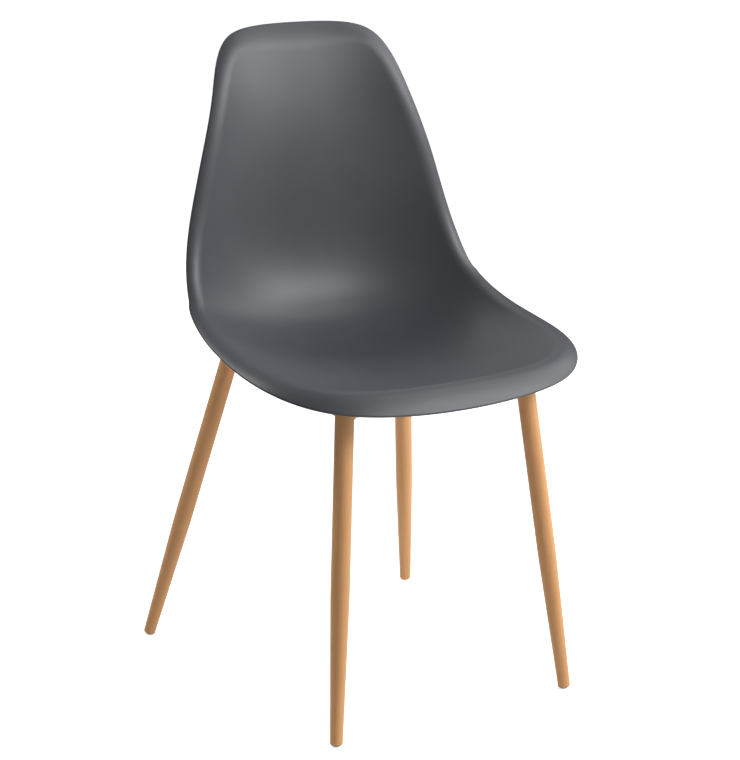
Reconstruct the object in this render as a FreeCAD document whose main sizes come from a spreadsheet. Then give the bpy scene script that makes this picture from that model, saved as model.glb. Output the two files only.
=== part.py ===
import FreeCAD, Part
import math
import os
import Sketcher

# A moulded plastic shell chair on a welded tube frame with four tapered legs.
# Millimetres. Z up, floor at Z = 0, the sitter faces -Y, and X = 0 is the plane of symmetry.
doc = FreeCAD.newDocument("shell_chair")
Vector = FreeCAD.Vector

# Driving sizes
SIZES = [
    ("seat_height", 437.5, "floor to the middle of the seat on the centre line"),
    ("shell_wall", 4, "thickness of the moulding"),
    # Centre line of the shell from the side, before the edge is rolled over
    ("front_reach", 248, "front edge, ahead of the chair's middle"),
    ("front_rise", 7.5, "front edge before its roll, above the seat"),
    ("thigh_reach", 45.6, "seat middle, ahead of the chair's middle"),
    ("hip_reach", 24.1, "rear of the seat, behind the chair's middle"),
    ("hip_rise", 0.8, "rear of the seat, above the seat"),
    ("heel_reach", 100.7, "bend between seat and back"),
    ("heel_rise", 26.7, "bend between seat and back, above the seat"),
    ("lumbar_reach", 142.1, "small of the back"),
    ("lumbar_rise", 126.5, "small of the back, above the seat"),
    ("back_reach", 138.2, "middle of the back"),
    ("back_rise", 231.2, "middle of the back, above the seat"),
    ("top_reach", 162.9, "top of the back"),
    ("top_rise", 418.6, "top of the back, above the seat"),
    # Widths of the blank, each with its place along the centre line
    ("lip_width", 194.6, "straight part of the front edge"),
    ("lip_place", 3, "from the front"),
    ("corner_width", 354.2, "front corners"),
    ("corner_place", 25.4, "from the front"),
    ("thigh_width", 434.2, "front of the seat"),
    ("thigh_place", 68.1, "from the front"),
    ("seat_width", 467.6, "widest part of the seat"),
    ("seat_place", 190, "from the front"),
    ("hip_width", 441.2, "rear of the seat"),
    ("hip_place", 342, "from the front"),
    ("waist_width", 417.4, "small of the back"),
    ("waist_place", 450, "from the front"),
    ("shoulder_width", 341.8, "upper back"),
    ("shoulder_place", 165, "from the top"),
    ("collar_width", 291.4, "where the top corners begin"),
    ("collar_place", 90, "from the top"),
    ("top_corner_width", 213.2, "top corners"),
    ("top_corner_place", 15.5, "from the top"),
    ("top_width", 115, "straight part of the top edge"),
    ("top_place", 2, "from the top"),
    # How far the sides stand above the centre line
    ("front_dish", 9.3, "at the front edge"),
    ("seat_dish", 35.2, "in the seat"),
    ("seat_dish_place", 150, "from the front"),
    ("heel_dish", 75.7, "at the bend"),
    ("heel_dish_place", 339, "from the front"),
    ("back_dish", 46.1, "in the back"),
    ("back_dish_place", 225, "from the top"),
    ("top_dish", 19.7, "at the top edge"),
    # The edge rolls away from the sitter all round: width of the roll and its drop
    ("front_roll", 29, "width at the front"),
    ("front_roll_drop", 28.2, "drop at the front"),
    ("thigh_roll", 31.5, "width at the front of the seat"),
    ("thigh_roll_drop", 16.3, "drop at the front of the seat"),
    ("hip_roll", 22.5, "width at the bend"),
    ("hip_roll_drop", 14.2, "drop at the bend"),
    ("shoulder_roll", 22.6, "width on the back's sides"),
    ("shoulder_roll_drop", 9.7, "drop on the back's sides"),
    ("corner_roll", 27, "width at the top corners"),
    ("corner_roll_drop", 8.7, "drop at the top corners"),
    ("top_roll", 39.2, "width at the top"),
    ("top_roll_drop", 9.4, "drop at the top"),
    # Fixing points under the seat
    ("boss_spread", 212, "between the left and right bosses"),
    ("front_boss_reach", 130, "front bosses, ahead of the chair's middle"),
    ("rear_boss_reach", 65, "rear bosses, behind the chair's middle"),
    ("boss_drop", 8, "seat down to the bosses' faces"),
    ("boss_diameter", 26, "moulded boss"),
    ("rib_reach", 30, "length of a boss rib from the boss's axis"),
    ("rib_wall", 2.5, "thickness of a boss rib"),
    ("rib_lift", 4, "boss face up to the ribs' lower edge"),
    ("insert_diameter", 8.6, "brass insert, outside"),
    ("insert_length", 9, "brass insert"),
    ("insert_depth", 1, "insert's mouth inside the boss"),
    ("pilot_depth", 10.5, "depth of the hole in the boss"),
    # Screws, washers, pads and plates
    ("screw_diameter", 6, "thread's outside"),
    ("screw_length", 16, "under the head"),
    ("head_diameter", 11, "screw head"),
    ("head_height", 3.6, "screw head"),
    ("socket_width", 4, "hexagon socket, across the flats"),
    ("socket_depth", 2.2, "hexagon socket"),
    ("thread_gap", 0.05, "radial gap between screw and insert"),
    ("screw_gap", 0.3, "radial gap round the screw in its washer, plate and pad"),
    ("washer_diameter", 13, "washer"),
    ("washer_wall", 1.2, "washer"),
    ("pad_diameter", 26, "rubber pad"),
    ("pad_height", 4, "rubber pad"),
    ("plate_wall", 3, "fixing plate"),
    ("plate_length", 50, "fixing plate, across the chair"),
    ("plate_width", 32, "fixing plate, along the chair"),
    ("plate_corner", 6, "corner radius of the plate"),
    ("plate_hole_inset", 14, "hole's centre from the plate's inner end"),
    # Tube frame
    ("rail_diameter", 16, "rails under the seat"),
    ("rail_wall", 1.5, "rails under the seat"),
    ("leg_diameter", 24, "leg above its taper"),
    ("foot_diameter", 16, "leg at the floor"),
    ("leg_wall", 1.5, "leg tube"),
    ("taper_length", 180, "tapered end of the leg"),
    ("leg_overrun", 12, "leg's top above the rails' axes"),
    ("front_foot_spread", 348.4, "between the front feet"),
    ("front_foot_reach", 224.7, "front feet, ahead of the chair's middle"),
    ("rear_foot_spread", 428.2, "between the rear feet"),
    ("rear_foot_reach", 242.7, "rear feet, behind the chair's middle"),
    ("front_leg_spread", 266.7, "between the front legs at the rails"),
    ("front_leg_reach", 183.6, "front legs at the rails"),
    ("rear_leg_spread", 272.9, "between the rear legs at the rails"),
    ("rear_leg_reach", 121.8, "rear legs at the rails"),
    # Plastic plug in a leg's top, and glide in its foot
    ("plug_head", 2.5, "thickness of the plug's head"),
    ("plug_length", 14, "plug's stem in the tube"),
    ("plug_gap", 0.1, "radial gap round the stem"),
    ("plug_round", 1.2, "rounded edge of the plug's head"),
    ("glide_radius", 10, "ball radius of the glide's face"),
    ("glide_inset", 0.2, "glide inside the tube's outline"),
    ("glide_flat", 0.4, "depth of the flat on the floor"),
    ("glide_stem", 16, "glide's stem in the tube"),
    ("glide_gap", 0.1, "radial gap round the glide's stem"),
]
sizes = doc.addObject("Spreadsheet::Sheet", "Sizes")
for row, (alias, value, note) in enumerate(SIZES, start=1):
    sizes.set("A%d" % row, alias.replace("_", " "))
    sizes.set("B%d" % row, str(value))
    sizes.set("C%d" % row, note)
    sizes.setAlias("B%d" % row, alias)
doc.recompute()


def size(alias):
    return float(sizes.get(alias))


finished = []


def finish(piece, label):
    """Name a sub-part and put it on the list of pieces to be written."""
    piece.Label = label
    finished.append(piece)
    return piece


SIDES = (("left", -1), ("right", 1))


# The shell's curves
def slopes(places, values, level_ends):
    """Slopes of a smooth curve through values at places, level or free at its two ends."""
    count = len(places)
    steps = [places[i + 1] - places[i] for i in range(count - 1)]
    rises = [(values[i + 1] - values[i]) / steps[i] for i in range(count - 1)]
    if level_ends:
        pivots, targets, above = [1.0], [0.0], [0.0]
    else:
        pivots, targets, above = [2.0], [3.0 * rises[0]], [1.0]
    for i in range(1, count - 1):
        below = 1.0 / steps[i - 1]
        ahead = 1.0 / steps[i]
        factor = below / pivots[i - 1]
        pivots.append(2.0 * (below + ahead) - factor * above[i - 1])
        targets.append(3.0 * (rises[i - 1] * below + rises[i] * ahead) - factor * targets[i - 1])
        above.append(ahead)
    if level_ends:
        result = [0.0]
    else:
        factor = 1.0 / pivots[-1]
        result = [(3.0 * rises[-1] - factor * targets[-1]) / (2.0 - factor * above[-1])]
    for i in range(count - 2, -1, -1):
        result.insert(0, (targets[i] - above[i] * result[0]) / pivots[i])
    return result


class Curve:
    """A smooth curve of one value along a length."""

    def __init__(self, places, values, level_ends=False):
        self.places = places
        self.values = values
        self.slopes = slopes(places, values, level_ends)

    def at(self, place):
        """Value, slope and bend at a place."""
        last = len(self.places) - 2
        i = 0
        while i < last and place > self.places[i + 1]:
            i += 1
        step = self.places[i + 1] - self.places[i]
        f = (place - self.places[i]) / step
        start, end = self.values[i], self.values[i + 1]
        leave, arrive = self.slopes[i] * step, self.slopes[i + 1] * step
        value = (2 * f ** 3 - 3 * f ** 2 + 1) * start + (f ** 3 - 2 * f ** 2 + f) * leave
        value += (3 * f ** 2 - 2 * f ** 3) * end + (f ** 3 - f ** 2) * arrive
        slope = (6 * f ** 2 - 6 * f) * (start - end) + (3 * f ** 2 - 4 * f + 1) * leave
        slope = (slope + (3 * f ** 2 - 2 * f) * arrive) / step
        bend = (12 * f - 6) * (start - end) + (6 * f - 4) * leave + (6 * f - 2) * arrive
        return value, slope, bend / step ** 2


def chord_lengths(points):
    lengths = [0.0]
    for (a, b), (c, d) in zip(points, points[1:]):
        lengths.append(lengths[-1] + math.hypot(c - a, d - b))
    return lengths


seat = size("seat_height")
spine = [
    (-size("front_reach"), seat + size("front_rise")),
    (-size("thigh_reach"), seat),
    (size("hip_reach"), seat + size("hip_rise")),
    (size("heel_reach"), seat + size("heel_rise")),
    (size("lumbar_reach"), seat + size("lumbar_rise")),
    (size("back_reach"), seat + size("back_rise")),
    (size("top_reach"), seat + size("top_rise")),
]
spine_places = chord_lengths(spine)
spine_y = Curve(spine_places, [y for y, z in spine])
spine_z = Curve(spine_places, [z for y, z in spine])
SPINE_STEPS = 800
walk = [spine_places[-1] * i / SPINE_STEPS for i in range(SPINE_STEPS + 1)]
travel = chord_lengths([(spine_y.at(place)[0], spine_z.at(place)[0]) for place in walk])
shell_length = travel[-1]


def spine_frame(length):
    """Point on the centre line and its direction, a length along it from the front."""
    low, high = 0, SPINE_STEPS
    while high - low > 1:
        middle = (low + high) // 2
        if travel[middle] > length:
            high = middle
        else:
            low = middle
    share = (length - travel[low]) / (travel[high] - travel[low])
    place = walk[low] + share * (walk[high] - walk[low])
    y, dy, _ = spine_y.at(place)
    z, dz, _ = spine_z.at(place)
    norm = math.hypot(dy, dz)
    return y, z, dy / norm, dz / norm


def from_top(alias):
    return shell_length - size(alias)


# Half of the blank's outline, from the middle of the front edge to the middle of the top edge
blank = {
    "front": (0.0, 0.0),
    "lip": (size("lip_width") / 2, size("lip_place")),
    "corner": (size("corner_width") / 2, size("corner_place")),
    "thigh": (size("thigh_width") / 2, size("thigh_place")),
    "seat": (size("seat_width") / 2, size("seat_place")),
    "hip": (size("hip_width") / 2, size("hip_place")),
    "waist": (size("waist_width") / 2, size("waist_place")),
    "shoulder": (size("shoulder_width") / 2, from_top("shoulder_place")),
    "collar": (size("collar_width") / 2, from_top("collar_place")),
    "top_corner": (size("top_corner_width") / 2, from_top("top_corner_place")),
    "top_side": (size("top_width") / 2, from_top("top_place")),
    "top": (0.0, shell_length),
}
rim_places = chord_lengths(list(blank.values()))
rim_x = Curve(rim_places, [x for x, s in blank.values()])
rim_s = Curve(rim_places, [s for x, s in blank.values()], level_ends=True)
rim_place = dict(zip(blank, rim_places))
rim_end = rim_place["top"]

# Half-width without the rounded ends, height of the sides, and the rolled edge
body_of_blank = [blank[name] for name in ("thigh", "seat", "hip", "waist", "shoulder", "collar")]
half_width = Curve(
    [0.0] + [s for x, s in body_of_blank] + [shell_length],
    [body_of_blank[0][0]] + [x for x, s in body_of_blank] + [body_of_blank[-1][0]],
    level_ends=True,
)
dish = Curve(
    [0.0, size("seat_dish_place"), size("heel_dish_place"), from_top("back_dish_place"), shell_length],
    [size("front_dish"), size("seat_dish"), size("heel_dish"), size("back_dish"), size("top_dish")],
)
roll_places = [rim_place[name] for name in ("front", "thigh", "hip", "shoulder", "top_corner", "top")]
ROLLS = ("front_roll", "thigh_roll", "hip_roll", "shoulder_roll", "corner_roll", "top_roll")
roll_width = Curve(roll_places, [size(name) for name in ROLLS], level_ends=True)
roll_drop = Curve(roll_places, [size(name + "_drop") for name in ROLLS], level_ends=True)
DISH_POWER = 2.4
ROLL_POWER = 2.0

RIM_STEPS = 160
rim_walk = []
for step in range(RIM_STEPS + 1):
    place = rim_end * step / RIM_STEPS
    rim_walk.append((place, rim_x.at(place)[0], rim_s.at(place)[0]))


def nearest_rim(x, s):
    """Distance to the blank's outline, and the place on it that is nearest."""
    x = abs(x)
    place = min(rim_walk, key=lambda p: (p[1] - x) ** 2 + (p[2] - s) ** 2)[0]
    for _ in range(4):
        rx, dx, bx = rim_x.at(place)
        rs, ds, bs = rim_s.at(place)
        pull = (rx - x) * dx + (rs - s) * ds
        stiffness = max(dx * dx + ds * ds + (rx - x) * bx + (rs - s) * bs, 0.2)
        move = max(-3.0, min(3.0, pull / stiffness))
        place = max(0.0, min(rim_end, place - move))
    return math.hypot(rim_x.at(place)[0] - x, rim_s.at(place)[0] - s), place


def shell_point(x, s):
    """Point of the sitter's side of the shell: x across, s along the centre line."""
    distance, place = nearest_rim(x, s)
    rise = dish.at(s)[0] * (abs(x) / half_width.at(s)[0]) ** DISH_POWER
    depth = max(0.0, 1.0 - distance / roll_width.at(place)[0])
    rise -= roll_drop.at(place)[0] * depth ** ROLL_POWER
    y, z, along_y, along_z = spine_frame(s)
    return Vector(x, y - along_z * rise, z + along_y * rise)


NUDGE = 0.05


def shell_normal(x, s):
    """Direction out of the shell on the sitter's side."""
    here = shell_point(x, s)
    side = -1.0 if x > 0 else 1.0
    ahead = 1.0 if s < shell_length / 2 else -1.0
    across = (shell_point(x + side * NUDGE, s) - here) * side
    along = (shell_point(x, s + ahead * NUDGE) - here) * ahead
    return across.cross(along).normalize()


# The blank as a grid whose four borders follow the front, the two sides and the top
ACROSS = 36
ALONG = 72


def spread(count):
    """Places from -1 to 1 that crowd towards both ends."""
    return [math.sin(math.pi * (i / count - 0.5)) for i in range(count + 1)]


def border(place, side):
    return side * rim_x.at(place)[0], rim_s.at(place)[0]


def blank_point(p, q):
    """Blend of the four borders at p across and q along, each from -1 to 1."""
    a, b = (p + 1) / 2, (q + 1) / 2
    corner, collar = rim_place["corner"], rim_place["top_corner"]
    side = 1 if p > 0 else -1
    right = border(corner + (collar - corner) * b, 1)
    front = border(corner * abs(p), side)
    top = border(rim_end - (rim_end - collar) * abs(p), side)
    front_corner = border(corner, 1)
    top_corner = border(collar, 1)
    x = (2 * a - 1) * right[0] + (1 - b) * front[0] + b * top[0]
    x -= (2 * a - 1) * ((1 - b) * front_corner[0] + b * top_corner[0])
    s = right[1] + (1 - b) * front[1] + b * top[1]
    s -= (1 - b) * front_corner[1] + b * top_corner[1]
    return x, s


wall = size("shell_wall")
upper, lower, normals = [], [], []
for p in spread(ACROSS):
    upper_row, lower_row, normal_row = [], [], []
    for q in spread(ALONG):
        x, s = blank_point(p, q)
        point, normal = shell_point(x, s), shell_normal(x, s)
        upper_row.append(point)
        lower_row.append(point - normal * wall)
        normal_row.append(normal)
    upper.append(upper_row)
    lower.append(lower_row)
    normals.append(normal_row)


def poles_through(places, points):
    """Poles of a smooth cubic curve that passes through points at places."""
    leave = []
    for values in zip(*[(point.x, point.y, point.z) for point in points]):
        leave.append(slopes(places, list(values), False))
    headings = [Vector(*parts) for parts in zip(*leave)]
    poles = [points[0]]
    for i in range(len(points) - 1):
        third = (places[i + 1] - places[i]) / 3
        poles.append(points[i] + headings[i] * third)
        poles.append(points[i + 1] - headings[i + 1] * third)
    poles.append(points[-1])
    return poles


def smooth_face(rows, row_places, places):
    """A face through a grid of points; faces with a border of like points share it exactly."""
    columns = zip(*[poles_through(places, row) for row in rows])
    net = [poles_through(row_places, list(column)) for column in columns]
    surface = Part.BSplineSurface()
    surface.buildFromPolesMultsKnots(
        net,
        [4] + [2] * (len(places) - 2) + [4],
        [4] + [2] * (len(row_places) - 2) + [4],
        places,
        row_places,
        False,
        False,
        3,
        3,
    )
    return surface.toShape()


# The edge is half round, in four strips that meet at the grid's corners
loop = [(i, 0) for i in range(ACROSS)]
loop += [(ACROSS, j) for j in range(ALONG)]
loop += [(i, ALONG) for i in range(ACROSS, 0, -1)]
loop += [(0, j) for j in range(ALONG, 0, -1)]
EDGE_ANGLES = [0, 45, 90, 135, 180]


def edge_points(index):
    """Points round the edge of the wall at one place on the rim."""
    i, j = loop[index]
    before, after = loop[index - 1], loop[(index + 1) % len(loop)]
    along = upper[after[0]][after[1]] - upper[before[0]][before[1]]
    outward = along.cross(normals[i][j]).normalize()
    middle = (upper[i][j] + lower[i][j]) * 0.5
    points = []
    for angle in EDGE_ANGLES:
        turn = math.radians(angle)
        points.append(middle + (normals[i][j] * math.cos(turn) + outward * math.sin(turn)) * (wall / 2))
    points[0], points[-1] = upper[i][j], lower[i][j]
    return points


edge = [edge_points(index) for index in range(len(loop))]
edge.append(edge[0])
faces = [smooth_face(side, spread(ACROSS), spread(ALONG)) for side in (upper, lower)]
first = 0
for count in (ACROSS, ALONG, ACROSS, ALONG):
    faces.append(smooth_face(edge[first:first + count + 1], spread(count), EDGE_ANGLES))
    first += count
skin = Part.Shell(faces)
skin.sewShape()
moulding = Part.Solid(skin)
if moulding.Volume < 0:
    moulding.reverse()

# Bosses under the seat, each with two crossed ribs up to the wall
boss_face = seat - size("boss_drop")
boss_radius = size("boss_diameter") / 2


def wall_middle(x, y):
    """Point in the middle of the seat's wall over x, y."""
    low, high = 0.0, from_top("back_dish_place")
    for _ in range(40):
        s = (low + high) / 2
        point = shell_point(x, s) - shell_normal(x, s) * (wall / 2)
        if point.y < y:
            low = s
        else:
            high = s
    return point, shell_normal(x, s)


def boss(x, y):
    """A round boss with a crossed pair of ribs, its top buried in the wall."""
    middle, normal = wall_middle(x, y)
    tall = middle.z - boss_face + boss_radius
    post = Part.makeCylinder(boss_radius, tall, Vector(x, y, boss_face))
    block = Part.makeBox(4 * boss_radius, 4 * boss_radius, 4 * boss_radius)
    block.translate(Vector(-2 * boss_radius, -2 * boss_radius, 0))
    block.Placement = FreeCAD.Placement(middle, FreeCAD.Rotation(Vector(0, 0, 1), normal)) * block.Placement
    shape = post.cut(block)
    for dx, dy in ((1, 0), (0, 1)):
        shape = shape.fuse(boss_rib(x, y, dx, dy))
    return shape


RIB_STEPS = 8


def boss_rib(x, y, dx, dy):
    """A thin upright rib through the boss's axis, its upper edge along the middle of the wall."""
    reach, half = size("rib_reach"), size("rib_wall") / 2
    top = []
    for step in range(RIB_STEPS + 1):
        shift = reach * (2 * step / RIB_STEPS - 1)
        middle, _ = wall_middle(x + dx * shift, y + dy * shift)
        top.append(Vector(x + dx * shift, y + dy * shift, middle.z))
    foot = boss_face + size("rib_lift")
    narrow = boss_radius / reach
    low = [Vector(x + dx * reach * k, y + dy * reach * k, foot) for k in (narrow, -narrow)]
    side = Vector(dy, dx, 0) * half
    outline = [point - side for point in top + low]
    face = Part.Face(Part.makePolygon(outline + outline[:1]))
    return face.extrude(side * 2)


boss_spots = []
for name, y in (("front", -size("front_boss_reach")), ("rear", size("rear_boss_reach"))):
    for side_name, side in SIDES:
        boss_spots.append((name + "_" + side_name, side * size("boss_spread") / 2, y))

shell_shape = moulding.multiFuse([boss(x, y) for _, x, y in boss_spots])
for _, x, y in boss_spots:
    pilot = Part.makeCylinder(size("insert_diameter") / 2, size("pilot_depth"), Vector(x, y, boss_face))
    shell_shape = shell_shape.cut(pilot)
shell_shape = shell_shape.Solids[0]
shell = doc.addObject("Part::Feature", "seat_shell")
shell.Shape = shell_shape
finish(shell, "seat_shell")


# Turned and flat pieces
def origin_plane(body, role):
    for feature in body.Origin.OriginFeatures:
        if feature.Role == role:
            return feature


def polygon_sketch(body, role, corners):
    """A closed outline on an origin plane, each corner tied to the sheet by its two distances."""
    sketch = body.newObject("Sketcher::SketchObject", body.Name + "_outline")
    sketch.AttachmentSupport = [(origin_plane(body, role), "")]
    sketch.MapMode = "FlatFace"
    values = []
    for across, up in corners:
        values.append((expression_value(across), expression_value(up)))
    count = len(corners)
    for i in range(count):
        start, end = values[i], values[(i + 1) % count]
        sketch.addGeometry(Part.LineSegment(Vector(start[0], start[1], 0), Vector(end[0], end[1], 0)))
    for i in range(count):
        sketch.addConstraint(Sketcher.Constraint("Coincident", i, 2, (i + 1) % count, 1))
    for i, (across, up) in enumerate(corners):
        for kind, axis, text, value in (
            ("DistanceX", -2, across, values[i][0]),
            ("DistanceY", -1, up, values[i][1]),
        ):
            if text == "0":
                sketch.addConstraint(Sketcher.Constraint("PointOnObject", i, 1, axis))
            else:
                tie = sketch.addConstraint(Sketcher.Constraint(kind, -1, 1, i, 1, value))
                sketch.setExpression("Constraints[%d]" % tie, text)
    return sketch


def expression_value(text):
    """Number that a sheet expression stands for."""
    if text == "0":
        return 0.0
    return float(sizes.evalExpression(text.replace("Sizes.", "")))


def turned(name, corners):
    """A body turned about its own Z axis from an outline of radius and height."""
    body = doc.addObject("PartDesign::Body", name)
    sketch = polygon_sketch(body, "XZ_Plane", corners)
    turn = body.newObject("PartDesign::Revolution", name + "_turn")
    turn.Profile = sketch
    turn.ReferenceAxis = (sketch, ["V_Axis"])
    turn.Angle = 360
    body.Tip = turn
    return body


def aimed(start, direction):
    return FreeCAD.Placement(start, FreeCAD.Rotation(Vector(0, 0, 1), direction))


# Legs. Each axis runs from a point on the floor to a point at the height of the rails.
rail_height = boss_face - size("pad_height") - size("plate_wall") - size("rail_diameter") / 2
RAIL_HEIGHT = "(Sizes.seat_height - Sizes.boss_drop - Sizes.pad_height - Sizes.plate_wall"
RAIL_HEIGHT += " - Sizes.rail_diameter / 2)"
ball_height = size("glide_radius") - size("glide_flat")
BALL_HEIGHT = "(Sizes.glide_radius - Sizes.glide_flat)"
HEAD_RADIUS = "(Sizes.foot_diameter / 2 - Sizes.glide_inset)"
SHOULDER = "sqrt(Sizes.glide_radius ^ 2 - " + HEAD_RADIUS + " ^ 2)"
head_radius = size("foot_diameter") / 2 - size("glide_inset")
shoulder = math.sqrt(size("glide_radius") ** 2 - head_radius ** 2)


class Leg:
    """Where one leg stands and how it leans; its own origin is the glide's ball centre."""

    def __init__(self, end, side_name, side):
        self.name = end + "_" + side_name
        self.end = end
        ahead = -1 if end == "front" else 1
        foot_x = side * size(end + "_foot_spread") / 2
        foot_y = ahead * size(end + "_foot_reach")
        rail_x = side * size(end + "_leg_spread") / 2
        rail_y = ahead * size(end + "_leg_reach")
        foot = Vector(foot_x, foot_y, 0)
        self.corner = Vector(rail_x, rail_y, rail_height)
        self.direction = (self.corner - foot).normalize()
        self.start = foot + self.direction * (ball_height / self.direction.z)
        self.place = aimed(self.start, self.direction)
        self.length = (rail_height - ball_height) / self.direction.z + size("leg_overrun")

    def length_text(self):
        across = "(Sizes.%s_foot_spread / 2 - Sizes.%s_leg_spread / 2)" % (self.end, self.end)
        along = "(Sizes.%s_foot_reach - Sizes.%s_leg_reach)" % (self.end, self.end)
        slant = "sqrt(1 + (%s ^ 2 + %s ^ 2) / %s ^ 2)" % (across, along, RAIL_HEIGHT)
        return "((%s - %s) * %s + Sizes.leg_overrun)" % (RAIL_HEIGHT, BALL_HEIGHT, slant)


legs = []
for end in ("front", "rear"):
    for side_name, side in SIDES:
        legs.append(Leg(end, side_name, side))

for leg in legs:
    top = leg.length_text()
    tube = turned(
        "leg_" + leg.name,
        [
            ("Sizes.foot_diameter / 2", "-" + SHOULDER),
            ("Sizes.leg_diameter / 2", "Sizes.taper_length"),
            ("Sizes.leg_diameter / 2", top),
            ("Sizes.leg_diameter / 2 - Sizes.leg_wall", top),
            ("Sizes.leg_diameter / 2 - Sizes.leg_wall", "Sizes.taper_length"),
            ("Sizes.foot_diameter / 2 - Sizes.leg_wall", "-" + SHOULDER),
        ],
    )
    tube.Placement = leg.place
    finish(tube, "leg_" + leg.name)

    # Plastic plug that closes the leg's top
    stem = "Sizes.leg_diameter / 2 - Sizes.leg_wall - Sizes.plug_gap"
    plug = turned(
        "leg_plug_" + leg.name,
        [
            ("0", "-Sizes.plug_length"),
            (stem + " - Sizes.plug_round", "-Sizes.plug_length"),
            (stem, "-Sizes.plug_length + Sizes.plug_round"),
            (stem, "0"),
            ("Sizes.leg_diameter / 2", "0"),
            ("Sizes.leg_diameter / 2", "Sizes.plug_head - Sizes.plug_round"),
            ("Sizes.leg_diameter / 2 - Sizes.plug_round", "Sizes.plug_head"),
            ("0", "Sizes.plug_head"),
        ],
    )
    plug.Placement = aimed(leg.start + leg.direction * leg.length, leg.direction)
    finish(plug, "leg_plug_" + leg.name)


def primitive(kind, name, place, **ties):
    """A plain solid whose sizes are tied to the sheet."""
    solid = doc.addObject(kind, name)
    for key, text in ties.items():
        solid.setExpression(key, text)
    solid.Placement = place
    return solid


def combine(kind, name, base, tool):
    result = doc.addObject(kind, name)
    result.Base = base
    result.Tool = tool
    return result


def at(x, y, z):
    return FreeCAD.Placement(Vector(x, y, z), FreeCAD.Rotation())


# Glides: a ball face below the tube's end, ground flat at the floor, on a stem in the tube
for leg in legs:
    name = "foot_glide_" + leg.name
    centre = at(leg.start.x, leg.start.y, leg.start.z)
    ball = primitive("Part::Sphere", name + "_ball", centre, Radius="Sizes.glide_radius")
    below = leg.place * at(0, 0, -size("glide_radius") - shoulder)
    core = primitive(
        "Part::Cylinder", name + "_core", below, Radius=HEAD_RADIUS, Height="Sizes.glide_radius"
    )
    head = combine("Part::Common", name + "_head", ball, core)
    stem = primitive(
        "Part::Cylinder",
        name + "_stem",
        leg.place * at(0, 0, -shoulder - 1),
        Radius="Sizes.foot_diameter / 2 - Sizes.leg_wall - Sizes.glide_gap",
        Height="Sizes.glide_stem + 1",
    )
    whole = combine("Part::Fuse", name + "_whole", head, stem)
    floor = primitive(
        "Part::Box",
        name + "_floor",
        at(leg.start.x - size("foot_diameter"), leg.start.y - size("foot_diameter"), -size("foot_diameter")),
        Length="2 * Sizes.foot_diameter",
        Width="2 * Sizes.foot_diameter",
        Height="Sizes.foot_diameter",
    )
    finish(combine("Part::Cut", name, whole, floor), name)


# Rails under the seat: four tubes between the legs, their ends coped to fit
def long_tube(name, start, end, outer, inner):
    """A tube from point to point."""
    run = end - start
    place = aimed(start, run)
    outside = primitive("Part::Cylinder", name + "_outside", place, Radius=outer)
    inside = primitive("Part::Cylinder", name + "_inside", place, Radius=inner)
    outside.Height = run.Length
    inside.Height = run.Length
    return combine("Part::Cut", name + "_tube", outside, inside)


def leg_core(name, leg):
    """The leg's full outline near its top, for coping a rail to it."""
    solid = primitive("Part::Cylinder", name, leg.place, Radius="Sizes.leg_diameter / 2")
    solid.Height = leg.length
    return solid


def coped(name, tube, tools):
    for number, tool in enumerate(tools, start=1):
        last = number == len(tools)
        tube = combine("Part::Cut", name if last else "%s_cope_%d" % (name, number), tube, tool)
    return finish(tube, name)


front_left, front_right, rear_left, rear_right = legs
RAIL_OUTER = "Sizes.rail_diameter / 2"
RAIL_INNER = "Sizes.rail_diameter / 2 - Sizes.rail_wall"
for name, one, other in (
    ("rail_front", front_left, front_right),
    ("rail_rear", rear_left, rear_right),
):
    tube = long_tube(name, one.corner, other.corner, RAIL_OUTER, RAIL_INNER)
    coped(name, tube, [leg_core(name + "_end_1", one), leg_core(name + "_end_2", other)])
for name, one, other in (
    ("rail_left", front_left, rear_left),
    ("rail_right", front_right, rear_right),
):
    tube = long_tube(name, one.corner, other.corner, RAIL_OUTER, RAIL_INNER)
    cross = []
    for key, ends in (("front", (front_left, front_right)), ("rear", (rear_left, rear_right))):
        run = ends[1].corner - ends[0].corner
        solid = primitive(
            "Part::Cylinder", name + "_" + key, aimed(ends[0].corner, run), Radius=RAIL_OUTER
        )
        solid.Height = run.Length
        cross.append(solid)
    tools = [leg_core(name + "_end_1", one), leg_core(name + "_end_2", other)] + cross
    coped(name, tube, tools)

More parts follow.
